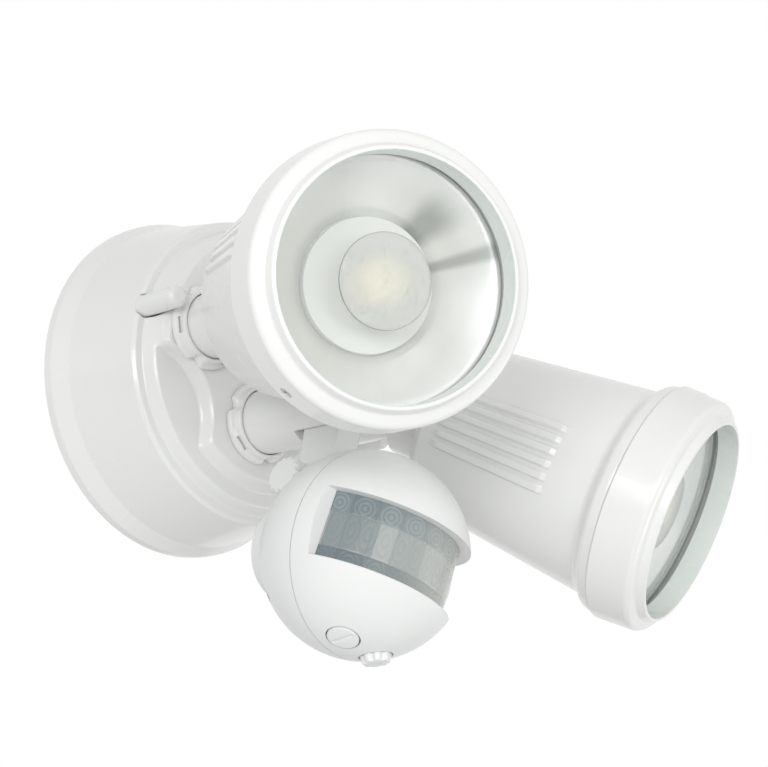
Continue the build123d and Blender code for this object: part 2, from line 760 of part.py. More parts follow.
with BuildPart() as rear_shell:
    Sphere(globe_radius)
    split(bisect_by=Plane.XY.offset(rear_seam), keep=Keep.BOTTOM)
    with BuildSketch(Plane.XY.offset(rear_face)):
        Circle(rear_disc_radius)
    extrude(amount=globe_radius / 2)
    fillet(rear_shell.faces().sort_by(Axis.Z)[0].edges(), rear_disc_round)
    for side in (-1, 1):
        with BuildSketch(Plane.YZ.offset(side * fork_gap)):
            with Locations(globe_hinge, (hinge_rise / 2, hinge_run / 2)):
                Circle(ear_radius)
            make_hull()
        extrude(amount=side * ear_thickness)
    add(rear_hollow.part, mode=Mode.SUBTRACT)
    with BuildSketch(Plane.YZ):
        with Locations(globe_hinge):
            Circle(notch_radius)
    extrude(amount=fork_gap, both=True, mode=Mode.SUBTRACT)
    with BuildSketch(Plane.YZ):
        with Locations(globe_hinge):
            Circle(hinge_bolt_radius + thread_play)
    extrude(amount=2 * ear_outer, both=True, mode=Mode.SUBTRACT)
    with BuildSketch(Plane.XY.offset(rear_seam - globe_wall)):
        Circle(inner_radius)
        Circle(inner_radius - globe_wall, mode=Mode.SUBTRACT)
    extrude(amount=globe_wall)
    with BuildSketch(Plane.XY.offset(rear_seam)):
        Circle(inner_radius - side_gap)
        Circle(inner_radius - globe_wall, mode=Mode.SUBTRACT)
        with Locations(*screw_places):
            Circle(shell_screw_head + globe_wall + side_gap, mode=Mode.SUBTRACT)
    extrude(amount=globe_wall)
    with BuildSketch(Plane.YZ.offset(-ear_outer)):
        with Locations(globe_hinge):
            Circle(knob_radius + side_gap)
    extrude(amount=-globe_radius, mode=Mode.SUBTRACT)
    with BuildSketch(Plane.XY.offset(rear_seam + globe_wall)):
        with Locations(*screw_places):
            Circle(shell_screw_radius + side_gap)
    extrude(amount=-globe_radius, mode=Mode.SUBTRACT)
    with BuildSketch(Plane.XY.offset(post_end + globe_wall)):
        with Locations(*screw_places):
            Circle(shell_screw_head + side_gap)
    extrude(amount=-globe_radius, mode=Mode.SUBTRACT)
place(rear_shell, sensor_plane, "sensor_rear_shell")

dial_planes = {}
for side in (-1, 1):
    splay, dip = radians(dial_splay), radians(dial_lean)
    axis = Vector(side * sin(splay), -cos(splay) * cos(dip), cos(splay) * sin(dip))
    across = Vector(cos(splay), side * sin(splay) * cos(dip), -side * sin(splay) * sin(dip))
    dial_planes[side] = Plane(origin=(0, 0, 0), x_dir=across, z_dir=axis)

with BuildPart() as front_hollow:
    Sphere(inner_radius)
    with BuildSketch(Plane.XZ.offset(-window_top - globe_wall)):
        with Locations((0, window_back - globe_wall + globe_radius)):
            Rectangle(2 * globe_radius, 2 * globe_radius)
    extrude(amount=window_top - window_bottom + 2 * globe_wall, mode=Mode.SUBTRACT)
    with BuildSketch(Plane.XY.offset(shell_seam)):
        with Locations(*screw_places):
            Circle(shell_screw_head + globe_wall)
    extrude(amount=globe_radius, mode=Mode.SUBTRACT)

with BuildPart() as front_shell:
    Sphere(globe_radius)
    split(bisect_by=Plane.XY.offset(shell_seam), keep=Keep.TOP)
    add(front_hollow.part, mode=Mode.SUBTRACT)
    with BuildSketch(Plane.XZ.offset(-window_top)):
        with Locations((0, window_back + globe_radius)):
            Rectangle(2 * globe_radius, 2 * globe_radius)
        Circle(lens_radius + lens_play)
    extrude(amount=window_top - window_bottom, mode=Mode.SUBTRACT)
    for plane in dial_planes.values():
        with BuildSketch(plane.offset(globe_radius - dial_depth - globe_wall)):
            Circle(dial_radius + dial_play)
        extrude(amount=globe_radius, mode=Mode.SUBTRACT)
    with BuildSketch(Plane.XY.offset(shell_seam)):
        with Locations(*screw_places):
            Circle(shell_screw_radius + thread_play)
    extrude(amount=window_back, mode=Mode.SUBTRACT)
place(front_shell, sensor_plane, "sensor_front_shell")

with BuildPart() as lens:
    with BuildSketch(Plane.XZ.offset(-window_top + thread_play)):
        Circle(lens_radius)
        Circle(lens_radius - lens_thickness, mode=Mode.SUBTRACT)
        with Locations((0, window_back - globe_wall - globe_radius)):
            Rectangle(2 * globe_radius, 2 * globe_radius, mode=Mode.SUBTRACT)
    extrude(amount=window_top - window_bottom - 2 * thread_play)
place(lens, sensor_plane, "sensor_lens")

with BuildPart() as circuit_board:
    with BuildSketch(Plane.XY.offset(board_place)):
        Circle(board_radius)
    extrude(amount=-board_thickness)
place(circuit_board, sensor_plane, "sensor_board")

with BuildPart() as sensing_element:
    with BuildSketch(Plane.XY.offset(board_place)):
        Circle(element_radius)
    extrude(amount=element_height)
place(sensing_element, sensor_plane, "sensor_element")

with BuildPart() as shell_screws:
    with BuildSketch(Plane.XY.offset(post_end + globe_wall)):
        with Locations(*screw_places):
            Circle(shell_screw_radius)
    extrude(amount=shell_seam + window_back / 2 - post_end - globe_wall)
    with BuildSketch(Plane.XY.offset(post_end + globe_wall)):
        with Locations(*screw_places):
            Circle(shell_screw_head)
    extrude(amount=-globe_wall)
place(shell_screws, sensor_plane, "sensor_shell_screws")

# ---- Clamp bolt and knob of the globe's hinge -------------------------------
knob_face = ear_outer + side_gap
with BuildPart() as clamp_bolt:
    with BuildSketch(Plane.YZ.offset(-knob_face - knob_height * 3 / 4)):
        with Locations(globe_hinge):
            Circle(hinge_bolt_radius)
    extrude(amount=ear_outer + knob_face + knob_height * 3 / 4)
    with BuildSketch(Plane.YZ.offset(ear_outer)):
        with Locations(globe_hinge):
            Circle(bolt_head_radius)
    extrude(amount=bolt_head_height)
    fillet(clamp_bolt.faces().sort_by(Axis.X)[-1].edges(), bolt_head_height / 2)
place(clamp_bolt, sensor_plane, "sensor_clamp_bolt")

with BuildPart() as clamp_knob:
    with BuildSketch(Plane.YZ.offset(-knob_face)):
        with Locations(globe_hinge):
            Circle(knob_radius)
            with PolarLocations(knob_radius, knob_flutes):
                Circle(knob_flute_radius, mode=Mode.SUBTRACT)
    extrude(amount=-knob_height)
    with BuildSketch(Plane.YZ.offset(-knob_face)):
        with Locations(globe_hinge):
            Circle(hinge_bore_radius)
    extrude(amount=-knob_height * 3 / 4 - side_gap, mode=Mode.SUBTRACT)
place(clamp_knob, sensor_plane, "sensor_clamp_knob")

# ---- Two setting dials under the globe --------------------------------------
for name, side in (("sensor_dial_1", -1), ("sensor_dial_2", 1)):
    top = globe_radius + dial_proud[side]
    with BuildPart() as dial:
        with BuildSketch(Plane.XY.offset(globe_radius - dial_depth)):
            Circle(dial_radius)
            with PolarLocations(dial_radius, dial_scallops):
                Circle(dial_scallop_radius, mode=Mode.SUBTRACT)
        extrude(amount=top - globe_radius + dial_depth)
        with BuildSketch(Plane.XY.offset(top)):
            Rectangle(2 * dial_radius, dial_slot_width)
        extrude(amount=-dial_slot_depth, mode=Mode.SUBTRACT)
    place(dial, Plane(sensor_plane.location * dial_planes[side].location), name)
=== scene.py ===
import json
from math import cos, pi, radians, sin

import bpy
import numpy as np
from bpy.props import FloatProperty, FloatVectorProperty, PointerProperty
from bpy.types import Operator, Panel, PropertyGroup
from mathutils import Matrix, Vector


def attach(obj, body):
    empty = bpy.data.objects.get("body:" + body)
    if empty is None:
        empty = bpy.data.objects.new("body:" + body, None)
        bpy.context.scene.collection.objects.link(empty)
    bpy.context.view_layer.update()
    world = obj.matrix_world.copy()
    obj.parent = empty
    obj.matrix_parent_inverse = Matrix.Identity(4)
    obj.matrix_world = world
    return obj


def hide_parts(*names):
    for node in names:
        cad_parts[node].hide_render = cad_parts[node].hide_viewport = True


bl_info = {
    "name": "Twin-lamp security light",
    "version": (1, 0, 0),
    "blender": (4, 5, 0),
    "location": "3D View > Sidebar > Security light",
    "description": "Dresses a twin-lamp security light with a motion sensor",
    "category": "Object",
}

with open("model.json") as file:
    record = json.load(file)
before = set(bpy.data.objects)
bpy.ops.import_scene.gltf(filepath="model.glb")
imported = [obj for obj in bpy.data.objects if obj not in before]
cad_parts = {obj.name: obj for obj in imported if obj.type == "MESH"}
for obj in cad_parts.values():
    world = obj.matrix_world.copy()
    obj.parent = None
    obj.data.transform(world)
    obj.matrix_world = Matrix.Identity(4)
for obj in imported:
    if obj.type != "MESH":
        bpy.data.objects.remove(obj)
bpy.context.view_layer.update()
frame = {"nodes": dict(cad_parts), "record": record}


# ---- Sizes that pieces share, in millimetres and degrees ---------------------
MM = 0.001
PORT_X, PORT_Z = 37.1, -3.2          # axes of the lamps' ports in the base
SENSOR_PORT_Z = -25.1                # axis of the sensor's port
STUD_X, STUD_Z = 58.3, -3.4          # axes of the studs
STUD_BORE = 2.3
FACE = 54.4                          # from the wall to the raised face
SHOULDER = 44.4                      # from the wall to the edge round that face
RING_SEAT = 54.65                    # from the wall to a lock ring's underside
RING_RADIUS = 12.8                   # of a lock ring's hole
LAMPS = {"lamp_1": -1, "lamp_2": 1}  # the side of the base that each lamp is on
SWING = {-1: 46.6, 1: 51.3}          # each lamp's turn in its port
TILT = {-1: 28.3, 1: 31.1}           # each lamp's turn at its hinge
LAMP_HINGE = 90.9                    # from the wall to a lamp's hinge
LAMP_CLOCKING = 38.0                 # a lamp's ribs, turned against its hinge
REACH = 125.2                        # from a lamp's hinge to the front of its lip
DISC_RADIUS = 14.5
SOURCE_RADIUS = 8.0
MOUTH_RADIUS = 37.0                  # inside a lamp's front ring
GLOBE = (0, -129.46, -87.59)         # centre of the sensor's globe
GLOBE_RADIUS = 35.4
GLOBE_LEAN = 7.4                     # of the window, below level
SENSOR_HINGE = (0, -100.4, -62.8)
LENS_RADIUS = 30.0
LENS_PITCH = 17.0                    # width of a cell in the outer rows
LENS_MIDDLE_PITCH = 11.0             # and in the middle row
LENS_JOINTS = (-8.6, 3.4)            # heights of the joints between the rows
DIAL_LEAN = 19.6                     # in front of straight down
DIAL_SPLAY = 13.5                    # to each side


# ---- Shader maths -----------------------------------------------------------
class Value:
    """A socket that carries one number. Operators on it add Math nodes."""

    def __init__(self, finish, socket):
        self.finish = finish
        self.socket = socket

    def _math(self, operation, first, second=None):
        values = {0: first} if second is None else {0: first, 1: second}
        node = self.finish.add("ShaderNodeMath", {"operation": operation}, values)
        return Value(self.finish, node.outputs[0])

    def __add__(self, other):
        return self._math("ADD", self, other)

    __radd__ = __add__

    def __sub__(self, other):
        return self._math("SUBTRACT", self, other)

    def __rsub__(self, other):
        return self._math("SUBTRACT", other, self)

    def __mul__(self, other):
        return self._math("MULTIPLY", self, other)

    __rmul__ = __mul__

    def __truediv__(self, other):
        return self._math("DIVIDE", self, other)

    def __pow__(self, other):
        return self._math("POWER", self, other)

    def wave(self):
        return self._math("SINE", self)

    def part(self):
        return self._math("FRACT", self)

    def angle(self, other):
        return self._math("ARCTAN2", self, other)

    def root(self):
        return self._math("SQRT", self)

    def distance(self, other):
        """How far out a point is that lies this much one way and that much the other."""
        return (self * self + other * other).root()

    def step(self, low, high):
        """0 at low, 1 at high, and a smooth change between them."""
        node = self.finish.add(
            "ShaderNodeMapRange",
            {"interpolation_type": "SMOOTHSTEP"},
            {"Value": self, "From Min": low, "From Max": high},
        )
        return Value(self.finish, node.outputs["Result"])


class Finish:
    """One procedural material, built round a Principled shader."""

    def __init__(self, name, **constants):
        self.material = bpy.data.materials.new(name)
        self.material.use_nodes = True
        self.tree = self.material.node_tree
        self.tree.nodes.clear()
        self.shader = self.add("ShaderNodeBsdfPrincipled")
        for socket, value in constants.items():
            self.shader.inputs[socket.replace("_", " ")].default_value = value
        self.add("ShaderNodeOutputMaterial", {}, {"Surface": self.shader})

    def add(self, kind, settings=None, values=None):
        """A node of one type, with its settings and then its sockets' values or links."""
        node = self.tree.nodes.new(kind)
        for key, value in (settings or {}).items():
            setattr(node, key, value)
        for key, value in (values or {}).items():
            if isinstance(value, Value):
                self.tree.links.new(value.socket, node.inputs[key])
            elif isinstance(value, bpy.types.NodeSocket):
                self.tree.links.new(value, node.inputs[key])
            elif isinstance(value, bpy.types.Node):
                self.tree.links.new(value.outputs[0], node.inputs[key])
            else:
                node.inputs[key].default_value = value
        return node

    def link(self, source, socket):
        if isinstance(source, Value):
            source = source.socket
        self.tree.links.new(source, self.shader.inputs[socket])

    def place(self):
        return self.add("ShaderNodeTexCoord").outputs["Object"]

    def local(self):
        """The piece's own axes, in millimetres, kept in its mesh as an attribute."""
        node = self.add("ShaderNodeAttribute", {"attribute_name": "own_axes"})
        return self.split(node.outputs["Vector"])

    def axes(self, stand):
        """Object coordinates turned onto a stand's axes, in millimetres: the dot
        products of the way from its origin with each axis."""
        away = self.add("ShaderNodeVectorMath", {"operation": "SUBTRACT"},
                        {0: self.place(), 1: tuple(stand.origin * MM)}).outputs[0]
        return [
            Value(self, self.add("ShaderNodeVectorMath", {"operation": "DOT_PRODUCT"},
                                 {0: away, 1: tuple(axis / MM)}).outputs["Value"])
            for axis in stand.axes
        ]

    def split(self, vector):
        node = self.add("ShaderNodeSeparateXYZ", {}, {0: vector})
        return [Value(self, node.outputs[i]) for i in range(3)]

    def join(self, x, y, z):
        return self.add("ShaderNodeCombineXYZ", {}, {"X": x, "Y": y, "Z": z}).outputs[0]

    def noise(self, scale, detail=3.0, roughness=0.5, vector=None):
        values = {"Vector": vector or self.place(), "Scale": scale, "Detail": detail,
                  "Roughness": roughness}
        return Value(self, self.add("ShaderNodeTexNoise", {}, values).outputs["Fac"])

    def mix(self, factor, first, second):
        first, second = [(*c, 1.0) if isinstance(c, tuple) else c for c in (first, second)]
        values = {0: factor, 6: first, 7: second}
        return self.add("ShaderNodeMix", {"data_type": "RGBA"}, values).outputs[2]

    def relief(self, height, strength, distance, edge=0.0):
        """Bump, on top of edges that are softened over a radius where one is given."""
        values = {"Height": height, "Strength": strength, "Distance": distance}
        if edge:
            soft = self.add("ShaderNodeBevel", {"samples": 4}, {"Radius": edge})
            values["Normal"] = soft.outputs["Normal"]
        node = self.add("ShaderNodeBump", {}, values)
        self.link(node.outputs["Normal"], "Normal")


# ---- Finishes ---------------------------------------------------------------
BLACK = (0.0, 0.0, 0.0)
finishes = {}


def toned(shade, factor):
    return tuple(min(channel * factor, 1.0) for channel in shade)


def enamel(shade, name="white_enamel", painted_shade=None):
    """Glossy powder coat: faint orange peel, softened edges and a slow drift in
    tone and gloss. A painted shade, where one is given, brings a mask and the colour painted there."""
    f = Finish(name, IOR=1.5, Coat_IOR=1.5, Coat_Roughness=0.06)
    drift = f.noise(14.0, 2.0)
    peel = f.noise(700.0, 2.0, 0.55)
    colour = f.mix(drift, toned(shade, 0.98), toned(shade, 1.02))
    if painted_shade is not None:
        # painted shade: the mask's colour is painted over the enamel where the mask is
        mask, painted_mouth_shade = painted_shade(f)
        colour = f.mix(mask, colour, painted_mouth_shade)
    f.link(colour, "Base Color")
    f.link(drift * 0.1 + 0.22, "Roughness")
    f.link(drift * 0.2 + 0.2, "Coat Weight")
    f.relief(peel, 0.1, 0.0002, 0.0005)
    return f.material


def bezel_enamel_painted_shade(shade, name, stand):
    """The enamel, and inside the lamp's mouth painted shade: a green-grey painted on its inner
    wall.
    """
    def painted_mouth_shade(f):
        x, y, _ = f.axes(stand)
        # painted shade: green-grey painted inside the mouth's radius, on the lip's inner wall, for
        # the shade of that recess
        mouth = x.distance(y).step(MOUTH_RADIUS + 0.1, MOUTH_RADIUS - 0.1)
        return mouth, (0.79, 0.84, 0.81)
    return enamel(shade, name, painted_mouth_shade)


def plastic(shade):
    """Satin white moulded plastic, a little warmer and duller than the enamel."""
    f = Finish("white_plastic", IOR=1.46)
    drift = f.noise(22.0, 2.0)
    grain = f.noise(1800.0, 2.0, 0.6)
    f.link(f.mix(drift, toned(shade, 0.98), toned(shade, 1.02)), "Base Color")
    f.link(drift * 0.12 + 0.3, "Roughness")
    f.relief(grain, 0.12, 0.0001, 0.0004)
    return f.material


def plain(name, low, high, rough, metal=0.0, scale=60.0):
    """Two close tones of one colour, uneven gloss and a fine surface grain."""
    f = Finish(name, Metallic=metal)
    drift = f.noise(scale, 4.0, 0.6)
    grain = f.noise(1200.0, 2.0, 0.6)
    f.link(f.mix(drift, low, high), "Base Color")
    f.link(drift * 0.15 + rough, "Roughness")
    f.relief(grain, 0.3, 0.0001, 0.0002)
    return f.material


def clear_glass():
    """Clear toughened glass: nearly nothing seen square on, more where it is seen
    at a slant, with a faint green cast."""
    f = Finish("clear_glass", IOR=1.5)
    haze = f.noise(45.0, 3.0)
    facing = Value(f, f.add("ShaderNodeLayerWeight", {}, {"Blend": 0.35}).outputs["Facing"])
    f.link(f.mix(haze, (0.86, 0.92, 0.89), (0.9, 0.95, 0.92)), "Base Color")
    f.link(haze * 0.03 + 0.02, "Roughness")
    f.link(facing**3.0 * 0.5 + 0.06, "Alpha")
    return f.material


def frosted_disc():
    """Sandblasted disc: milky, with the light source's warm glow scattered in its
    middle and painted shade, a dark grey, round its rim."""
    f = Finish("frosted_disc", IOR=1.45, Emission_Strength=0.12)
    x, y, _ = f.local()
    out = x.distance(y)
    spread = out.step(10.5, 3.0)
    # painted shade: a ring at the rim, painted dark grey and made opaque, for the shade at the
    # disc's edge
    edge = out.step(DISC_RADIUS - 0.3, DISC_RADIUS - 0.05)
    sand = f.noise(2400.0, 2.0, 0.7)
    milk = f.mix(sand, (0.69, 0.7, 0.67), (0.75, 0.76, 0.73))
    # painted shade on the rim, over the milky sand
    f.link(f.mix(edge, milk, (0.3, 0.33, 0.3)), "Base Color")
    f.link(f.mix(spread, BLACK, (1.0, 0.84, 0.42)), "Emission Color")
    f.link(edge * 0.3 + 0.7, "Alpha")
    f.link(sand * 0.2 + 0.45, "Roughness")
    f.relief(sand, 0.4, 0.0001, 0.0001)
    return f.material


def spun_aluminium():
    """Bright aluminium with fine streaks from the throat to the rim: noise over the
    direction round the beam, stretched along the radius. Painted highlights and dark
    painted reflections lie in wedges, as bands of that direction, in radians."""
    f = Finish("spun_aluminium", Metallic=0.5)
    x, y, _ = f.local()
    out = x.distance(y)
    turn = y.angle(x)

    # mask for painted reflections: 1 within a band round a middle direction, soft at its sides
    def painted_reflection_wedge(middle, half, soft):
        away = turn - middle
        return (away * away).root().step(half, half - soft)

    def streaks(detail, roughness, round_beam, along_beam):
        grain = f.join(x / out * round_beam, y / out * round_beam, out * along_beam)
        return f.noise(1.0, detail, roughness, grain)

    fine, broad = streaks(3.0, 0.7, 150.0, 0.9), streaks(2.0, 0.5, 5.0, 0.02)
    # painted dark reflections: two wedges, the first only towards the rim, that darken the metal
    # towards dark grey, with some of the grain's broad streaks
    painted_dark_reflection = painted_reflection_wedge(2.08, 0.32, 0.28) * out.step(37.0, 26.0) + painted_reflection_wedge(1.54, 0.11, 0.09) * 0.8
    # painted highlights: two wedges that lighten the metal to near white
    painted_highlight = painted_reflection_wedge(2.8, 0.5, 0.45) + painted_reflection_wedge(1.0, 0.5, 0.45) * 0.8
    metal = f.mix(fine, (0.8, 0.81, 0.785), (1.0, 1.0, 0.98))
    shaded = f.mix(painted_dark_reflection + broad * 0.15, metal, (0.42, 0.44, 0.42))
    f.link(f.mix(painted_highlight * 0.8, shaded, (1.0, 1.0, 0.995)), "Base Color")
    f.link(fine * 0.12 + broad * 0.1 + 0.24, "Roughness")
    f.relief(fine, 0.35, 0.0001, 0.0001)
    return f.material


def light_source(glow_colour, name, stand):
    """White board with a round phosphor that glows warm, softer towards its edge."""
    f = Finish(name, Emission_Strength=0.3)
    x, y, _ = f.axes(stand)
    glow = x.distance(y).step(SOURCE_RADIUS, 0.65 * SOURCE_RADIUS)
    grain = f.noise(900.0, 2.0)
    f.link(f.mix(glow, (0.78, 0.79, 0.76), (0.92, 0.74, 0.36)), "Base Color")
    f.link(f.mix(glow, BLACK, tuple(glow_colour)), "Emission Color")
    f.link(grain * 0.2 + 0.4, "Roughness")
    f.relief(grain, 0.3, 0.0001, 0.0001)
    return f.material


def window_lens():
    """Milky Fresnel lens in three rows of cells, the bottom and top rows in wider
    columns than the middle: each cell has its own tone and rings round its middle, as
    waves of the distance from it. Painted shade makes the lens darker towards -x."""
    f = Finish("window_lens", IOR=1.49, Coat_Weight=0.15, Coat_Roughness=0.2)
    x, y, z = f.local()
    lower, upper = LENS_JOINTS
    top, low = y.step(upper - 0.1, upper + 0.1), y.step(lower + 0.1, lower - 0.1)
    inner = 1.0 - top - low
    pitch = LENS_PITCH - inner * (LENS_PITCH - LENS_MIDDLE_PITCH)
    column = x.angle(z) * (180.0 / pi) / pitch + 0.5
    degree = 0.524  # mm round the lens
    across = (column.part() - 0.5) * pitch * degree
    middle = top * 6.4 + inner * (-1.6) + low * (-11.5)
    rise = y - middle
    away = (across * across + rise * rise * (1.0 - inner * 0.75)).root()
    cell = f.join(column - column.part(), top - low, 0.0)
    pick = f.add("ShaderNodeTexWhiteNoise", {"noise_dimensions": "3D"}, {"Vector": cell})
    own = Value(f, pick.outputs["Value"])
    rings = ((away * 4.2).wave() * 0.5 + 0.5) * away.step(3.9, 3.2)
    # painted shade: the lens goes from dark blue-grey at -x to grey at +x
    side = x.step(-30.0, 22.0)
    tone = f.mix(side, (0.14, 0.18, 0.2), (0.46, 0.47, 0.43))
    pale = f.mix(inner * (own * 0.7 + 0.15), tone, (0.5, 0.52, 0.5))
    deep = f.mix((1.0 - inner) * own * 0.5, pale, (0.27, 0.32, 0.33))
    f.link(f.mix(rings * (top * 0.1 + own * 0.1), deep, (0.55, 0.6, 0.6)), "Base Color")
    f.link(rings * 0.12 + 0.25, "Roughness")
    f.relief(rings + own * 0.4, 0.5, 0.0001)
    return f.material


def build_finishes(colours):
    """Every finish of the record, by its slot."""
    finishes.update(
        white_metal=enamel(colours.enamel),
        white_plastic=plastic(colours.plastic),
        clear_glass=clear_glass(),
        frosted_disc=frosted_disc(),
        spun_aluminium=spun_aluminium(),
        window_lens=window_lens(),
        seal_rubber=plain("seal_rubber", toned(colours.seal, 0.9), toned(colours.seal, 1.1), 0.6),
    )
    for name, low, high, rough, metal, scale in (
            ("zinc_steel", (0.5, 0.49, 0.45), (0.68, 0.67, 0.63), 0.28, 1.0, 60.0),
            ("plain_aluminium", (0.7, 0.7, 0.7), (0.8, 0.8, 0.8), 0.4, 1.0, 60.0),
            ("brass", (0.68, 0.5, 0.22), (0.8, 0.62, 0.32), 0.3, 1.0, 60.0),
            ("holder_plastic", (0.76, 0.78, 0.755), (0.82, 0.835, 0.81), 0.5, 0.0, 60.0),
            ("driver_case", (0.6, 0.6, 0.59), (0.68, 0.68, 0.67), 0.5, 0.0, 60.0),
            ("terminal_plastic", (0.05, 0.05, 0.055), (0.08, 0.08, 0.085), 0.5, 0.0, 60.0),
            ("board_green", (0.02, 0.14, 0.06), (0.03, 0.2, 0.08), 0.45, 0.0, 300.0)):
        finishes[name] = plain(name, low, high, rough, metal, scale)
    for lamp, side in LAMPS.items():
        stand = lamp_stand(side)
        finishes[f"{lamp}_led"] = light_source(colours.glow, f"{lamp}_source", stand)
        finishes[f"{lamp}_bezel"] = bezel_enamel_painted_shade(colours.enamel, f"{lamp}_bezel_enamel_painted_shade", stand)


def dress_frame():
    """Gives every node of the frame its own finish, or that of its material slot."""
    slots = {p["node"]: p["material_slot"] for p in frame["record"]["subparts"]}
    for name, obj in frame["nodes"].items():
        material = finishes.get(name) or finishes[slots[name]]
        if not obj.data.materials:
            obj.data.materials.append(material)
        for i in range(len(obj.data.materials)):
            obj.data.materials[i] = material


# ---- Surfaces ---------------------------------------------------------------
def smooth_min(a, b, soft):
    """The lesser of two arrays, with a fillet of width soft where they cross."""
    h = np.clip(0.5 + 0.5 * (b - a) / soft, 0.0, 1.0)
    return b + (a - b) * h - soft * h * (1.0 - h)


def smooth_step(t):
    """0 before 0, 1 after 1, and 3 t squared minus 2 t cubed between them."""
    t = np.clip(t, 0.0, 1.0)
    return t * t * (3.0 - 2.0 * t)


def full_turn(count):
    """Angles once round, the last not repeating the first."""
    return np.linspace(0, 2 * pi, count, endpoint=False)


def rounded(points, radii, steps=6):
    """Profile whose corners are arcs tangent to both runs, with a point close to
    each end of a long run, so that it shades flat."""
    hold = 0.2
    points = [np.array(p, float) for p in points]
    out = [points[0]]
    for before, corner, after, radius in zip(points, points[1:], points[2:], radii):
        a, b = before - corner, after - corner
        la, lb = np.linalg.norm(a), np.linalg.norm(b)
        a, b = a / la, b / lb
        turn = np.arccos(np.clip(-a @ b, -1.0, 1.0))
        if radius <= 0 or turn < 0.01:
            out.append(corner)
            continue
        reach = min(radius * np.tan(turn / 2), 0.49 * la, 0.49 * lb)
        radius = reach / np.tan(turn / 2)
        bisector = (a + b) / np.linalg.norm(a + b)
        centre = corner + bisector * (radius / np.cos(turn / 2))
        start, end = corner + a * reach, corner + b * reach
        u = start - centre
        sweep = np.linspace(0.0, turn, steps + 1)
        side = np.sign(a[0] * b[1] - a[1] * b[0])
        c, s = np.cos(sweep), np.sin(sweep) * -side
        arc = centre + np.stack([u[0] * c - u[1] * s, u[0] * s + u[1] * c], 1)
        if la - reach > 3 * hold:
            out.append(start + a * hold)
        out.extend(arc)
        if lb - reach > 3 * hold:
            out.append(end + b * hold)
    out.append(points[-1])
    return np.array(out)


def divided(profile, longest):
    """The same profile with no run longer than this."""
    runs = np.linalg.norm(np.diff(profile, axis=0), axis=1)
    parts = np.maximum(1, np.ceil(runs / longest)).astype(int)
    pieces = [
        profile[i] + np.linspace(0, 1, n, endpoint=False)[:, None] * (profile[i + 1] - profile[i])
        for i, n in enumerate(parts)
    ]
    return np.concatenate(pieces + [profile[-1:]])


def turned(radius, height, angles):
    """Grid of points round Z: x = r cos a, y = r sin a, z = h, with one row for each
    height and one column for each angle."""
    radius, height = np.broadcast_arrays(radius, height)
    return np.stack([radius * np.cos(angles), radius * np.sin(angles), height + 0 * angles], -1)


def revolved(profile, columns=144):
    """Profile of (radius, height) carried round Z."""
    return turned(profile[:, :1], profile[:, 1:], full_turn(columns))


def patch(grid, wrap_rows=False, wrap_columns=True, outward=None):
    """Points and faces of a grid. A row that is one point becomes a pole. The faces are
    turned outwards by the sign of the volume that they enclose, or to a given side."""
    rows, columns = grid.shape[:2]
    p = grid.reshape(-1, 3)
    index = np.arange(rows * columns).reshape(rows, columns)
    spread = np.ptp(grid, axis=1).max(axis=1)
    index = np.where((spread < 1e-6)[:, None], index[:, :1], index)
    down = np.arange(rows if wrap_rows else rows - 1)
    along = np.arange(columns if wrap_columns else columns - 1)
    i, j = np.meshgrid(down, along, indexing="ij")
    i2, j2 = (i + 1) % rows, (j + 1) % columns
    quads = np.stack([index[i, j], index[i, j2], index[i2, j2], index[i2, j]], -1).reshape(-1, 4)
    top, bottom = quads[:, 0] == quads[:, 1], quads[:, 2] == quads[:, 3]
    tris = np.concatenate([quads[top & ~bottom][:, [0, 2, 3]], quads[bottom & ~top][:, :3]])
    quads = quads[~top & ~bottom]
    if outward is None:
        halves = np.concatenate([quads[:, [0, 1, 2]], quads[:, [0, 2, 3]], tris])
        a, b, c = p[halves].transpose(1, 0, 2)
        facing = np.einsum("ij,ij->", a, np.cross(b, c))
    else:
        normals = np.cross(p[quads[:, 2]] - p[quads[:, 0]], p[quads[:, 3]] - p[quads[:, 1]])
        facing = (normals @ np.array(outward, float)).sum()
    if facing < 0:
        quads, tris = quads[:, ::-1], tris[:, ::-1]
    return p, quads, tris


class Stand:
    """Where a piece's own axes stand: origin in mm, x and z; y is z cross x."""

    def __init__(self, origin=(0, 0, 0), x=(1, 0, 0), z=(0, 0, 1)):
        x, z = np.array(x, float), np.array(z, float)
        x, z = x / np.linalg.norm(x), z / np.linalg.norm(z)
        self.origin = np.array(origin, float)
        self.axes = np.stack([x, np.cross(z, x), z])

    def out(self, points):
        return self.origin + points @ self.axes

    def moved(self, offset, x, z):
        """A stand at a point of this one, turned to other directions of it."""
        return Stand(self.out(np.array(offset, float)),
                     np.array(x, float) @ self.axes, np.array(z, float) @ self.axes)


def mesh_of(name, patches, stand):
    """Mesh of several patches: place in metres, and the piece's own axes in mm kept
    in the attribute own_axes."""
    points, quads, tris, start = [], [], [], 0
    for p, q, t in patches:
        points.append(p)
        quads.append(q + start)
        tris.append(t + start)
        start += len(p)
    points = np.concatenate(points)
    quads, tris = np.concatenate(quads), np.concatenate(tris)
    used, place = np.unique(np.concatenate([quads.ravel(), tris.ravel()]), return_inverse=True)
    quads, tris = place[: quads.size].reshape(-1, 4), place[quads.size :].reshape(-1, 3)
    points = points[used]
    mesh = bpy.data.meshes.new(name)
    mesh.from_pydata((stand.out(points) * MM).tolist(), [], quads.tolist() + tris.tolist())
    own = mesh.attributes.new("own_axes", "FLOAT_VECTOR", "POINT")
    own.data.foreach_set("vector", points.astype(np.float32).ravel())
    mesh.polygons.foreach_set("use_smooth", np.ones(len(mesh.polygons), bool))
    mesh.update()
    return mesh


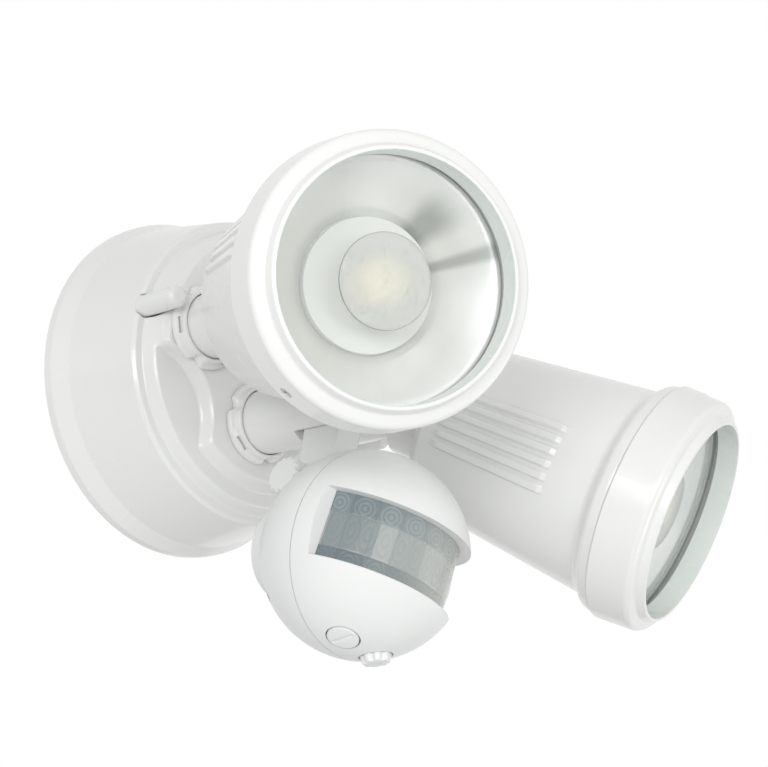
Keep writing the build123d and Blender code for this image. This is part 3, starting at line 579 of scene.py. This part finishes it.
def cut(obj, cutter_mesh):
    """Takes a closed mesh out of a piece."""
    cutter = bpy.data.objects.new("cutter", cutter_mesh)
    bpy.context.scene.collection.objects.link(cutter)
    modifier = obj.modifiers.new("cut", "BOOLEAN")
    modifier.operation = "DIFFERENCE"
    modifier.solver = "EXACT"
    modifier.object = cutter
    depsgraph = bpy.context.evaluated_depsgraph_get()
    mesh = bpy.data.meshes.new_from_object(obj.evaluated_get(depsgraph))
    obj.modifiers.clear()
    old, obj.data = obj.data, mesh
    bpy.data.meshes.remove(old)
    bpy.data.objects.remove(cutter)
    mesh.name = obj.name


def piece(name, patches, stand, body, nodes, slot, cutter=None, sharp=38.0):
    """A new piece that rides on a body and stands for nodes of the frame. An edge that
    turns by more than sharp degrees stays sharp."""
    mesh = mesh_of(name, patches, stand)
    obj = bpy.data.objects.new(name, mesh)
    bpy.context.scene.collection.objects.link(obj)
    mesh.materials.append(finishes[slot])
    if cutter is not None:
        cut(obj, mesh_of("cutter", cutter, stand))
    obj.data.set_sharp_from_angle(angle=radians(sharp))
    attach(obj, body)
    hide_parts(*nodes)


def rod(radius, low, high, place, columns=48):
    """Closed cylinder along Z, whose axis is at a place across it."""
    grid = revolved(np.array([(0, low), (radius, low), (radius, high), (0, high)], float), columns)
    return patch(grid + np.array([*place, 0]))


# ---- Where the main pieces stand --------------------------------------------
WALL = Stand(z=(0, -1, 0))


def lamp_stand(side):
    """Hinge at the origin, hinge line along X and beam along Z."""
    swing, tilt = radians(SWING[side]), radians(TILT[side])
    x = (cos(swing), 0, side * sin(swing))
    z = (side * sin(swing) * sin(tilt), -cos(tilt), -cos(swing) * sin(tilt))
    return Stand((side * PORT_X, -LAMP_HINGE, PORT_Z), x, z)


def arm_stand(side):
    """Port's axis along Z, from the wall outwards, and hinge line along X."""
    swing = radians(SWING[side])
    return Stand((side * PORT_X, 0, PORT_Z), (cos(swing), 0, side * sin(swing)), (0, -1, 0))


def sensor_stand():
    """Centre of the globe at the origin, upright along Y and window along Z."""
    lean = radians(GLOBE_LEAN)
    return Stand(GLOBE, (1, 0, 0), (0, -cos(lean), -sin(lean)))


# ---- Base -------------------------------------------------------------------
def build_base(sizes):
    """Height of the raised face over polar angle and radius: a three-lobed hub, whose
    edge is the smooth least of a circle and three scallops, steps softly down to a
    shallow floor inside a rim that leans in. The bore of each port and stud is cut
    through it."""
    hub_radius, bank, pocket_radius, rim_foot = 53.4, 1.6, 52.8, 57.6
    scallops = ((63.5, 223.0, 27.0), (63.5, -43.0, 27.0), (72.0, 90.0, 48.0))
    angles = full_turn(540)

    def hub_edge(outer, shrink):
        edge = np.full_like(angles, outer)
        for distance, direction, radius in scallops:
            off = angles - radians(direction)
            inside = (radius - shrink) ** 2 - (distance * np.sin(off)) ** 2
            near = distance * np.cos(off) - np.sqrt(np.clip(inside, 0, None))
            near = np.where((inside > 0) & (np.cos(off) > 0), near, 200.0)
            edge = smooth_min(edge, near, 5.0)
        return edge

    drawn_in = 6.6 * smooth_step((-np.sin(angles) - 0.35) / 0.5)
    crest = hub_edge(hub_radius - drawn_in, 0.0)
    foot = np.maximum(hub_edge(hub_radius + 2.0 - drawn_in, bank), crest + bank)
    before, beyond = 1.3, 1.2
    floor = FACE - sizes.pocket_depth / MM
    end = np.minimum(foot + beyond, pocket_radius - 0.2)
    start = np.minimum(crest - before, end - 1.0)
    rows = [start * k for k in (0.0, 0.35, 0.7, 0.93, 0.985)]
    rows += [start + (end - start) * k for k in np.linspace(0, 1, 14)]
    rows += [end + (pocket_radius - end) * k for k in (0.08, 0.35, 0.65, 0.92, 1.0)]
    rows += [np.full_like(angles, r) for r in np.linspace(53.1, 58.4, 22)]
    r = np.array(rows)
    fall = smooth_step((r - (crest - before)) / (foot - crest + before + beyond))
    hub = FACE + (floor - FACE) * fall
    height = smooth_min(hub, SHOULDER + (rim_foot - r) * 2.5, 2.2)
    height = -smooth_min(-height, np.full_like(height, -SHOULDER), 0.8)
    side = rounded(
        [(58.4, SHOULDER), (60.4, SHOULDER), (61.5, 43.0), (66.65, 12.0), (69.8, 4.5),
         (69.95, 0.5), (68.3, 0.5), (68.3, 2.5), (64.9, 2.5), (64.9, 0.5), (63.4, 0.5),
         (63.4, 8.0), (58.3, 41.2), (0, 41.2)],
        [0.5, 0.8, 5.0, 3.0, 0.4, 0.2, 0.1, 0.1, 0.2, 0.2, 3.0, 2.0])[1:]
    r = np.concatenate([r, np.repeat(side[:, :1], len(angles), 1)])
    height = np.concatenate([height, np.repeat(side[:, 1:], len(angles), 1)])
    port_bore, nut_seat_radius, below, above = 10.08, 4.75, 38, 60
    ports = ((-PORT_X, PORT_Z), (PORT_X, PORT_Z), (0, SENSOR_PORT_Z))
    studs = ((-STUD_X, STUD_Z), (STUD_X, STUD_Z))
    bores = [rod(port_bore, below, above, port) for port in ports]
    bores += [rod(nut_seat_radius, 43, above, stud) for stud in studs]
    bores += [rod(STUD_BORE, below, 43.5, stud, 24) for stud in studs]
    piece("base_casting", [patch(turned(r, height, angles))], WALL, "base", ["base_housing"],
          "white_metal", bores)


def build_cap_nuts():
    """Domed nut: a profile with a round end, carried round each stud."""
    profile = rounded([(2.05, 43), (4.1, 43), (4.1, 64), (0, 64)], [0.3, 3.6], 8)
    nut = revolved(np.concatenate([[(0, 54.25), (2.05, 54.25)], profile]), 40)
    nuts = [patch(nut + np.array([x, STUD_Z, 0])) for x in (-STUD_X, STUD_X)]
    piece("cap_nut_pair", nuts, WALL, "base", ["cap_nuts"], "white_metal")


def build_lock_ring(sizes, name, stand, first):
    """Threaded ring: a low collar on a thin flange, whose radius dips in a smooth wave
    at three notches, with a narrow slot through each lobe."""
    angles, third = full_turn(300), 120.0
    flange, half_notch = 16.2, 13.0
    profile = rounded(
        [(RING_RADIUS, RING_SEAT), (flange, RING_SEAT), (flange, 56.6), (14.6, 57.6),
         (14.2, 59.85), (RING_RADIUS, 59.85), (RING_RADIUS, RING_SEAT), (13.5, RING_SEAT)],
        [0.3, 0.8, 0.6, 0.8, 0.3, 0.2], 5)[1:-1]
    away = np.abs((np.degrees(angles) - first + third / 2) % third - third / 2)
    dip = 1.0 - smooth_step(away / half_notch)
    edge = np.clip((profile[:, :1] - 13.3) / (flange - 13.3), 0, 1)
    notch = sizes.notch_depth / MM * edge * dip
    slots = []
    for lobe in range(3):
        turn = radians(first + third / 2 + third * lobe)
        corner = np.array([(14.0, -3.0), (14.8, -3.0), (14.8, 3.0), (14.0, 3.0)])
        corner = corner @ np.array([[cos(turn), sin(turn)], [-sin(turn), cos(turn)]])
        middle = corner * 0 + corner.mean(0)
        rows = [np.column_stack([c, np.full(4, h)])
                for c, h in ((middle, 55.6), (corner, 55.6), (corner, 61.0), (middle, 61.0))]
        slots.append(patch(np.array(rows)))
    grid = turned(profile[:, :1] - notch, profile[:, 1:], angles)
    piece(f"{name}_ring", [patch(grid, wrap_rows=True)], stand, f"{name}_ring",
          [f"{name}_lock_ring"], "white_metal", slots)


# ---- Lamps ------------------------------------------------------------------
def build_lamp_body(sizes, lamp, side):
    """Radius over angle and height: the can's profile, carried round the beam, plus two
    groups of soft ribs, each a smooth bump across and along. The round hollow for the
    arm's fork is cut out of its back."""
    flange = REACH - 19.35
    profile = divided(rounded(
        [(0, 5.5), (18.4, 5.5), (18.7, 21.4), (30.4, 24.2), (33.0, 27.6), (39.35, REACH - 26.8),
         (43.1, REACH - 23.4), (43.7, REACH - 20.2), (43.5, flange), (41.2, flange),
         (41.2, REACH - 11.7), (38.35, REACH - 11.7), (38.35, REACH - 24.5), (36.5, REACH - 27.95),
         (36.5, REACH - 31.25), (33.6, REACH - 31.25), (30.4, 33.0), (26.0, 29.5), (0, 29.5)],
        [0.8, 3.0, 2.6, 1.6, 3.6, 3.0, 0.5, 0.3, 0.2, 0.2, 0.2, 0.5, 0.2, 0.2, 0.5, 1.0, 1.0]), 1.6)
    rib_pitch, half = 7.0, 22.0
    fine = np.linspace(-half, half, 132)
    coarse = np.linspace(half, 180 - half, 42)[1:-1]
    clock = np.concatenate([fine, coarse, fine + 180.0, coarse + 180.0])
    local = ((clock + 90) % 180) - 90
    rib = smooth_step((0.42 - np.abs((local / rib_pitch) % 1.0 - 0.5)) / 0.2)
    rib = rib * (np.abs(local) < 3 * rib_pitch)
    r, z = profile[:, :1], profile[:, 1:]
    along = smooth_step((z - 33.2) / 2.4) * smooth_step((REACH - 44.0 - z) / 1.1)
    along[np.argmax(profile[:, 1] > flange - 0.05):] = 0  # the inner wall stays round
    angles = np.radians(clock - side * LAMP_CLOCKING)
    grid = turned(r + sizes.rib_height / MM * along * rib, z, angles)
    drum = revolved(np.array([(0, -12.8), (13.1, -12.8), (13.1, 12.8), (0, 12.8)], float), 96)
    hollow = Stand((0, 0, 0), (0, 1, 0), (1, 0, 0)).out(drum)
    piece(f"{lamp}_body", [patch(grid)], lamp_stand(side), f"{lamp}_head", [f"{lamp}_housing"],
          "white_metal", [patch(hollow)])


def build_tongue(lamp, side):
    """Hinge tongue: a slab with a round back, its reach from the hinge line being a
    radius behind and the nearer of its side and its root ahead, with a round bore. Its
    loop is carried from the bore over one face, the edge and the other face."""
    half_width, root, count = 9.5, 17.0, 120
    angles = full_turn(count)
    y, up = np.sin(angles), np.cos(angles)
    slab = np.minimum(half_width / np.maximum(np.abs(y), 1e-6), root / np.maximum(up, 1e-6))
    far = np.where(up > 0, slab, half_width)
    rows = [(-5.2, 2.58, 0), (-5.5, 2.9, 0), (-5.5, -0.4, 1), (-5.38, -0.12, 1), (-5.1, 0, 1),
            (5.1, 0, 1), (5.38, -0.12, 1), (5.5, -0.4, 1), (5.5, 2.9, 0), (5.2, 2.58, 0)]
    reach = np.array([far + inset if outer else np.full_like(far, inset)
                      for _, inset, outer in rows])
    tongue = np.stack([np.repeat([[x] for x, _, _ in rows], count, 1), y * reach, up * reach], -1)
    piece(f"{lamp}_tongue", [patch(tongue, wrap_rows=True)], lamp_stand(side), f"{lamp}_head",
          [f"{lamp}_housing"], "white_metal")


def build_optics(lamp, side):
    """Reflector, disc and glass: each a profile carried round the beam. The reflector's
    depth goes as a power a little over 1 of the way in, so that it is faintly hollow."""
    stand, head = lamp_stand(side), f"{lamp}_head"
    s = np.linspace(0, 1, 24)[:, None]
    rim = REACH - 12.2
    inner = np.concatenate([36.0 - 15.0 * s, rim - 15.8 * s**1.12], 1)
    outer = inner[::-1] + np.array([0.6, -0.8])
    bowl = np.concatenate([[(37.9, rim)], inner, outer, [(37.9, rim - 0.8)]])
    piece(f"{lamp}_bowl", [patch(revolved(bowl, 240), wrap_rows=True)], stand, head,
          [f"{lamp}_reflector"], "spun_aluminium", sharp=50.0)
    for name, node, slot, radius, front, back in (
            ("window", "glass", "clear_glass", 41.0, REACH - 8.0, REACH - 10.5),
            ("disc", "diffuser", "frosted_disc", DISC_RADIUS, REACH - 10.5, REACH - 11.5)):
        edge = rounded([(0, back), (radius, back), (radius, front), (0, front)], [0.25, 0.25], 4)
        piece(f"{lamp}_{name}", [patch(revolved(divided(edge, 1.0), 180))], stand, head,
              [f"{lamp}_{node}"], slot)


def build_set_screws(lamp, side):
    """Two grub screws in the bezel: a profile with a sunk end carried round each, the
    sink's radius being that of a hexagon over the angle."""
    angles = full_turn(72)
    hexagon = cos(pi / 6) / np.cos(angles % (pi / 3) - pi / 6)
    radius, sink, low, high = 1.85, 1.05, 39.4, 44.1
    profile = rounded([(0, low), (radius, low), (radius, high), (sink, high + 0.1), (sink, 42.8),
                       (0, 42.8)], [0.3, 0.3, 0.1, 0.1], 4)
    sunk = (np.arange(len(profile)) >= np.argmax(profile[:, 1]))[:, None]
    grid = turned(profile[:, :1] * np.where(sunk, hexagon, 1.0), profile[:, 1:], angles)
    for number, place in ((1, -120.0 * side), (2, 180.0 - 120.0 * side)):
        turn = radians(place)
        stand = lamp_stand(side).moved((0, 0, REACH - 13.6), (0, 0, 1), (cos(turn), sin(turn), 0))
        piece(f"{lamp}_grub_screw_{number}", [patch(grid)], stand, f"{lamp}_head",
              [f"{lamp}_set_screws"], "zinc_steel")


# ---- Sensor -----------------------------------------------------------------
def build_lens(sizes):
    """Part of a drum round the sensor's upright, x = r sin a and z = r cos a, with the
    joints between its cells as shallow grooves in the outer face."""
    half_span, count, joint, inside = 75.0, 320, 0.17, 28.8
    span = np.radians(np.linspace(-half_span, half_span, count))
    height = np.linspace(-13.0, 10.0, 90)[:, None]
    across = (np.degrees(span) / LENS_PITCH + 0.5) % 1.0
    upright = np.exp(-(np.minimum(across, 1 - across) * 8.9 / joint) ** 2)
    level = np.exp(-((height - np.array(LENS_JOINTS)) / joint) ** 2).max(1, keepdims=True)
    front = LENS_RADIUS - np.maximum(upright, level) * sizes.groove_depth / MM
    angles = np.concatenate([span, span[::-1]])
    radius = np.concatenate([front, np.full_like(front, inside)], 1)
    grid = np.stack([radius * np.sin(angles), np.repeat(height, 2 * count, 1),
                     radius * np.cos(angles)], -1)
    patches = [patch(grid)]
    for row, way in ((0, -1.0), (-1, 1.0)):
        rim = np.stack([grid[row, :count], grid[row, count:][::-1]])
        patches.append(patch(rim, wrap_columns=False, outward=(0, way, 0)))
    piece("fresnel_lens", patches, sensor_stand(), "sensor_head", ["sensor_lens"], "window_lens")


def build_knob(sizes):
    """Clamp knob: a profile with a round end carried round the bolt, its radius a wave
    of the angle for the grips."""
    grips, radius, bore = 14, 7.2, 2.58
    angles = full_turn(240)
    profile = rounded([(0, 18.8), (bore, 18.8), (bore, 12.1), (radius, 12.1), (radius, 20.0),
                       (0, 20.6)], [0.2, 0.2, 0.5, 1.6], 6)
    edge = np.clip((profile[:, :1] - 5.6) / 1.4, 0, 1)
    wave = sizes.grip_depth / MM / 2 * (1 - np.cos(grips * angles))
    grid = turned(profile[:, :1] - edge * wave, profile[:, 1:], angles)
    piece("clamp_grip", [patch(grid)], Stand(SENSOR_HINGE, (0, 1, 0), (-1, 0, 0)), "sensor_knob",
          ["sensor_clamp_knob"], "white_plastic")


def build_dials(sizes):
    """Two setting dials: a cap that follows the globe's curve, scalloped round its edge,
    with a finger slot sunk in its top as a smooth trough."""
    lean, sensor, radius, scallops = radians(DIAL_LEAN), sensor_stand(), 5.3, 8
    angles = full_turn(168)
    for number, side, proud, scallop in ((1, -1, 0.15, 0.0), (2, 1, 2.2, 0.8)):
        splay = side * radians(DIAL_SPLAY)
        axis = (sin(splay), -cos(splay) * cos(lean), cos(splay) * sin(lean))
        across = (cos(splay), sin(splay) * cos(lean), -sin(splay) * sin(lean))
        top = GLOBE_RADIUS + proud
        profile = divided(rounded(
            [(0, 31.2), (radius, 31.2), (radius, 34.9), (radius - proud * 0.35, top), (0, top)],
            [0.3, 0.3, 0.4], 6), 0.5)
        profile[:, 1] -= (profile[:, 0] / 8.9) ** 2 * (profile[:, 1] > 34.5)
        edge = np.clip((profile[:, :1] - 3.4) / 0.9, 0, 1)
        wave = scallop * (0.5 - 0.5 * np.cos(scallops * angles)) ** 2
        grid = turned(profile[:, :1] - edge * wave, profile[:, 1:], angles)
        trough = smooth_step((0.75 - np.abs(grid[..., 0])) / 0.35)
        trough = trough * smooth_step((4.2 - np.abs(grid[..., 1])) / 0.5)
        grid[..., 2] -= np.where(grid[..., 2] > top - 0.7, sizes.slot_depth / MM * trough, 0)
        piece(f"setting_dial_{number}", [patch(grid)], sensor.moved((0, 0, 0), across, axis),
              f"sensor_dial_{number}", [f"sensor_dial_{number}"], "white_plastic")


# ---- Stage ------------------------------------------------------------------
def build_floor(scene):
    """Pale floor, well below the light."""
    half, level = 3.0, -0.8
    mesh = bpy.data.meshes.new("floor")
    mesh.from_pydata(
        [(-half, -half, level), (half, -half, level), (half, half, level), (-half, half, level)],
        [], [(0, 1, 2, 3)])
    floor = bpy.data.objects.new("floor", mesh)
    scene.collection.objects.link(floor)
    mesh.materials.append(
        plain("floor_paper", (0.9, 0.9, 0.9), (0.93, 0.93, 0.93), 0.7, scale=4.0))


def build_world(scene):
    """Soft light from all round, and white where the camera, a gloss or a glass sees it."""
    world = bpy.data.worlds.new("studio")
    scene.world = world
    world.use_nodes = True
    tree = world.node_tree
    tree.nodes.clear()

    def background(colour, strength):
        made = tree.nodes.new("ShaderNodeBackground")
        made.inputs["Color"].default_value = (*colour, 1.0)
        made.inputs["Strength"].default_value = strength
        return made.outputs[0]

    path = tree.nodes.new("ShaderNodeLightPath")
    seen = path.outputs["Is Camera Ray"]
    for ray in ("Is Glossy Ray", "Is Transmission Ray"):
        either = tree.nodes.new("ShaderNodeMath")
        either.operation = "MAXIMUM"
        tree.links.new(seen, either.inputs[0])
        tree.links.new(path.outputs[ray], either.inputs[1])
        seen = either.outputs[0]
    mix, out = tree.nodes.new("ShaderNodeMixShader"), tree.nodes.new("ShaderNodeOutputWorld")
    tree.links.new(seen, mix.inputs[0])
    tree.links.new(background((0.985, 1.0, 0.99), 0.61), mix.inputs[1])
    tree.links.new(background((1.0, 1.0, 1.0), 1.0), mix.inputs[2])
    tree.links.new(mix.outputs[0], out.inputs[0])


def build_lights(scene):
    """Soft rectangular lamps, each with its place and target in metres, its size and
    its power in watts."""
    for name, place, target, size, power in (
            ("front_soft", (-0.45, -1.1, -0.3), (0, -0.1, -0.02), (0.6, 0.34), 2.9),
            ("low_soft", (-0.85, -0.6, -0.28), (0, -0.05, 0), (0.4, 0.3), 2.8),
            ("right_soft", (1.0, -0.8, -0.2), (0, -0.1, 0), (0.5, 0.5), 1.8),
            ("top_soft", (0.2, -0.8, 0.9), (0, -0.08, 0), (0.9, 0.9), 0.4)):
        light = bpy.data.lights.new(name, "AREA")
        light.shape = "RECTANGLE"
        light.size, light.size_y = size
        light.energy = power
        obj = bpy.data.objects.new(name, light)
        obj.location = place
        obj.rotation_euler = (Vector(place) - Vector(target)).to_track_quat("Z", "Y").to_euler()
        scene.collection.objects.link(obj)


def build_camera(scene):
    """The photograph's view, from in front, below and to the left."""
    camera = bpy.data.cameras.new("camera")
    camera.lens, camera.sensor_width, camera.sensor_fit = 70.3, 36.0, "HORIZONTAL"
    camera.clip_start = 0.02
    view = bpy.data.objects.new("camera", camera)
    place = (-0.3278, -0.4714, -0.2653)
    right, up = (0.6400, -0.7398, 0.2075), (-0.4719, -0.1654, 0.8660)
    behind = (-0.6064, -0.6522, -0.4549)
    turn = Matrix((right, up, behind)).transposed().to_4x4()
    view.matrix_world = Matrix.Translation(place) @ turn
    scene.collection.objects.link(view)
    scene.camera = view


# ---- Add-on -----------------------------------------------------------------
def length(name, description, millimetres):
    return FloatProperty(name=name, description=description, default=millimetres * MM, min=0.0,
                         precision=5, unit="LENGTH")


def colour(name, description, shade):
    return FloatVectorProperty(name=name, description=description, default=shade, min=0.0,
                               max=1.0, subtype="COLOR")


class LightSizes(PropertyGroup):
    """Sizes of the visible detail."""
    rib_height: length("Rib height", "How far a lamp's cooling ribs stand out", 1.25)
    pocket_depth: length(
        "Pocket depth", "From the base's raised face down to the pockets' floor", 4.8)
    notch_depth: length("Notch depth", "How deep the notches of the lock rings are", 2.4)
    grip_depth: length("Grip depth", "How deep the grooves round the clamp knob are", 0.9)
    slot_depth: length("Slot depth", "How deep the finger slots of the setting dials are", 0.35)
    groove_depth: length("Groove depth", "How deep the joints between the lens cells are", 0.14)


class LightColours(PropertyGroup):
    """Colours of the main finishes."""
    enamel: colour("Enamel", "Powder coat of the castings", (0.825, 0.827, 0.815))
    plastic: colour("Plastic", "Moulded parts of the sensor", (0.815, 0.82, 0.815))
    seal: colour("Seal", "Rubber gaskets", (0.37, 0.41, 0.385))
    glow: colour("Glow", "Light source behind the disc", (1.0, 0.8, 0.5))


class SECURITY_LIGHT_OT_finishes(Operator):
    """Makes every finish and gives the frame's nodes theirs"""
    bl_idname = "security_light.finishes"
    bl_label = "Finishes"

    def execute(self, context):
        build_finishes(context.scene.light_colours)
        dress_frame()
        return {"FINISHED"}


class SECURITY_LIGHT_OT_base(Operator):
    """Builds the cast base with its cap nuts"""
    bl_idname = "security_light.base"
    bl_label = "Base"

    def execute(self, context):
        build_base(context.scene.light_sizes)
        build_cap_nuts()
        return {"FINISHED"}


class SECURITY_LIGHT_OT_lock_rings(Operator):
    """Builds the notched rings that lock the three arms"""
    bl_idname = "security_light.lock_rings"
    bl_label = "Lock rings"

    def execute(self, context):
        sizes = context.scene.light_sizes
        for lamp, side in LAMPS.items():
            build_lock_ring(sizes, lamp, arm_stand(side), side * SWING[side])
        build_lock_ring(sizes, "sensor", Stand((0, 0, SENSOR_PORT_Z), z=(0, -1, 0)), 180.0)
        return {"FINISHED"}


class SECURITY_LIGHT_OT_lamps(Operator):
    """Builds both lamps: can, hinge tongue, reflector, disc, glass and set screws"""
    bl_idname = "security_light.lamps"
    bl_label = "Lamps"

    def execute(self, context):
        for lamp, side in LAMPS.items():
            build_lamp_body(context.scene.light_sizes, lamp, side)
            build_tongue(lamp, side)
            build_optics(lamp, side)
            build_set_screws(lamp, side)
        return {"FINISHED"}


class SECURITY_LIGHT_OT_sensor(Operator):
    """Builds the sensor's lens, clamp knob and setting dials"""
    bl_idname = "security_light.sensor"
    bl_label = "Sensor"

    def execute(self, context):
        sizes = context.scene.light_sizes
        build_lens(sizes)
        build_knob(sizes)
        build_dials(sizes)
        return {"FINISHED"}


class SECURITY_LIGHT_OT_stage(Operator):
    """Sets up the floor, the world, the lights and the camera"""
    bl_idname = "security_light.stage"
    bl_label = "Stage"

    def execute(self, context):
        scene = context.scene
        scene.view_settings.view_transform = "Standard"
        build_floor(scene)
        build_world(scene)
        build_lights(scene)
        build_camera(scene)
        return {"FINISHED"}


STEPS = ("finishes", "base", "lock_rings", "lamps", "sensor", "stage")


class SECURITY_LIGHT_PT_pieces(Panel):
    """Sizes, colours and the steps that build the light"""
    bl_idname = "SECURITY_LIGHT_PT_pieces"
    bl_label = "Security light"
    bl_space_type = "VIEW_3D"
    bl_region_type = "UI"
    bl_category = "Security light"

    def draw(self, context):
        for group in (context.scene.light_sizes, context.scene.light_colours):
            column = self.layout.column(align=True)
            for name in group.__annotations__:
                column.prop(group, name)
        for step in STEPS:
            self.layout.operator(f"security_light.{step}")


CLASSES = (
    LightSizes, LightColours, SECURITY_LIGHT_OT_finishes, SECURITY_LIGHT_OT_base,
    SECURITY_LIGHT_OT_lock_rings, SECURITY_LIGHT_OT_lamps, SECURITY_LIGHT_OT_sensor,
    SECURITY_LIGHT_OT_stage, SECURITY_LIGHT_PT_pieces,
)


def register():
    for kind in CLASSES:
        bpy.utils.register_class(kind)
    bpy.types.Scene.light_sizes = PointerProperty(type=LightSizes)
    bpy.types.Scene.light_colours = PointerProperty(type=LightColours)


def unregister():
    del bpy.types.Scene.light_colours
    del bpy.types.Scene.light_sizes
    for kind in reversed(CLASSES):
        bpy.utils.unregister_class(kind)


def main():
    register()
    for step in STEPS:
        getattr(bpy.ops.security_light, step)()


if __name__ == "__main__":
    main()
